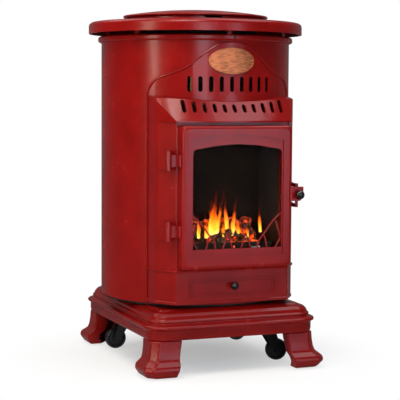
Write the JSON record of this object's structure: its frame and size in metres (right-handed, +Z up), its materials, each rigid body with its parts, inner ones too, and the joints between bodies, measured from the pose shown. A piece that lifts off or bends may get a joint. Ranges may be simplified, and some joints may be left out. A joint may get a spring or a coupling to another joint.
{
  "type": "portable gas heater",
  "caption": "Free-standing bottled-gas room heater styled as a small round stove, with a glazed latched door over ceramic coals, a louvred hood and hidden castors.",
  "frame": {"origin": "centre of the bounding box's base, on the floor under the castor wheels", "axes": "+Z up, -Y out of the glazed door (the front), +X to the right seen from the front"},
  "size_m": [0.4946, 0.532, 0.803],
  "materials": {
    "red_enamel": "satin deep red stove enamel",
    "plinth_enamel": "satin dark red stove enamel",
    "dark_steel": "matt black heat-resistant paint",
    "zinc": "bright zinc plate",
    "copper": "satin copper plate",
    "brass": "plain machined brass",
    "black_gloss": "glossy black",
    "black_rubber": "matt black",
    "orange_hose": "satin orange",
    "rope_seal": "woven glass rope, dark grey",
    "fibre_board": "sooty brown fibre board",
    "ember_ceramic": "rough ember-coloured ceramic fibre",
    "clear_glass": "clear heat-resistant glass"
  },
  "bodies": {
    "cabinet": {"plinth": "plinth_enamel", "floor_plate": "dark_steel", "leg_front_left": "plinth_enamel", "leg_front_right": "plinth_enamel", "leg_rear_left": "plinth_enamel", "leg_rear_right": "plinth_enamel", "cabinet_base_ring": "dark_steel", "cabinet_shell": "red_enamel", "top_collar": "red_enamel", "crest_panel": "red_enamel", "oval_plate": "copper", "front_body": "red_enamel", "ash_panel_knob": "black_gloss", "hood": "red_enamel", "hinge_bracket_lower": "red_enamel", "hinge_bracket_upper": "red_enamel", "hinge_pin_lower": "red_enamel", "hinge_pin_upper": "red_enamel", "keeper_plate": "red_enamel", "firebox": "dark_steel", "firebox_back_panel": "fibre_board", "burner_tray": "dark_steel", "coal_bed": "ember_ceramic", "pilot_assembly": "zinc", "heat_shield": "zinc", "gas_valve": "brass", "burner_pipe": "brass", "gas_hose": "orange_hose", "regulator": "zinc", "regulator_shelf": "zinc", "top_plate": "red_enamel", "lid_hinge_pin": "zinc", "control_panel": "dark_steel", "igniter_body": "black_gloss", "castor_plate_front_left": "zinc", "castor_plate_front_right": "zinc", "castor_plate_rear_left": "zinc", "castor_plate_rear_right": "zinc"},
    "door": {"door_frame": "red_enamel", "door_strap_lower": "red_enamel", "door_strap_upper": "red_enamel", "window_fret": "red_enamel", "glass_seal": "rope_seal", "door_glass": "clear_glass", "glass_retainer": "dark_steel"},
    "latch": {"latch_knob": "black_gloss", "latch_spindle": "zinc"},
    "lid": {"lid": "red_enamel"},
    "control_knob": {"control_knob": "black_gloss"},
    "igniter_button": {"igniter_button": "black_gloss"},
    "rear_cover": {"rear_cover": "red_enamel"},
    "castor_front_left": {"castor_fork_front_left": "zinc"},
    "wheel_front_left": {"castor_wheel_front_left": "black_rubber"},
    "castor_front_right": {"castor_fork_front_right": "zinc"},
    "wheel_front_right": {"castor_wheel_front_right": "black_rubber"},
    "castor_rear_left": {"castor_fork_rear_left": "zinc"},
    "wheel_rear_left": {"castor_wheel_rear_left": "black_rubber"},
    "castor_rear_right": {"castor_fork_rear_right": "zinc"},
    "wheel_rear_right": {"castor_wheel_rear_right": "black_rubber"}
  },
  "joints": [
    {"name": "door_hinge", "type": "hinge", "parent": "cabinet", "child": "door", "pos_m": [-0.153, -0.2193, 0.3905], "axis": [0, 0, -1], "range_deg": [0, 110]},
    {"name": "latch_turn", "type": "hinge", "parent": "door", "child": "latch", "pos_m": [0.141, -0.2373, 0.391], "axis": [0, -1, 0], "range_deg": [0, 90]},
    {"name": "lid_hinge", "type": "hinge", "parent": "cabinet", "child": "lid", "pos_m": [0, 0.1947, 0.7895], "axis": [-1, 0, 0], "range_deg": [0, 95]},
    {"name": "control_knob_turn", "type": "hinge", "parent": "cabinet", "child": "control_knob", "pos_m": [-0.055, -0.0013, 0.75], "axis": [0, 0, 1], "range_deg": [0, 210]},
    {"name": "igniter_press", "type": "slide", "parent": "cabinet", "child": "igniter_button", "axis": [0, 0, -1], "range_m": [0, 0.0035], "stiffness_N_per_m": 300, "springref_m": -0.005},
    {"name": "rear_cover_lift", "type": "slide", "parent": "cabinet", "child": "rear_cover", "axis": [0, 0, 1], "range_m": [0, 0.015]},
    {"name": "castor_swivel_front_left", "type": "hinge", "parent": "cabinet", "child": "castor_front_left", "pos_m": [-0.126, -0.1273, 0.05], "axis": [0, 0, 1], "continuous": true},
    {"name": "wheel_spin_front_left", "type": "hinge", "parent": "castor_front_left", "child": "wheel_front_left", "pos_m": [-0.147, -0.1273, 0.025], "axis": [0, 1, 0], "continuous": true},
    {"name": "castor_swivel_front_right", "type": "hinge", "parent": "cabinet", "child": "castor_front_right", "pos_m": [0.126, -0.1273, 0.05], "axis": [0, 0, 1], "continuous": true},
    {"name": "wheel_spin_front_right", "type": "hinge", "parent": "castor_front_right", "child": "wheel_front_right", "pos_m": [0.147, -0.1273, 0.025], "axis": [0, 1, 0], "continuous": true},
    {"name": "castor_swivel_rear_left", "type": "hinge", "parent": "cabinet", "child": "castor_rear_left", "pos_m": [-0.137, 0.1307, 0.05], "axis": [0, 0, 1], "continuous": true},
    {"name": "wheel_spin_rear_left", "type": "hinge", "parent": "castor_rear_left", "child": "wheel_rear_left", "pos_m": [-0.158, 0.1307, 0.025], "axis": [0, 1, 0], "continuous": true},
    {"name": "castor_swivel_rear_right", "type": "hinge", "parent": "cabinet", "child": "castor_rear_right", "pos_m": [0.137, 0.1307, 0.05], "axis": [0, 0, 1], "continuous": true},
    {"name": "wheel_spin_rear_right", "type": "hinge", "parent": "castor_rear_right", "child": "wheel_rear_right", "pos_m": [0.158, 0.1307, 0.025], "axis": [0, 1, 0], "continuous": true}
  ]
}
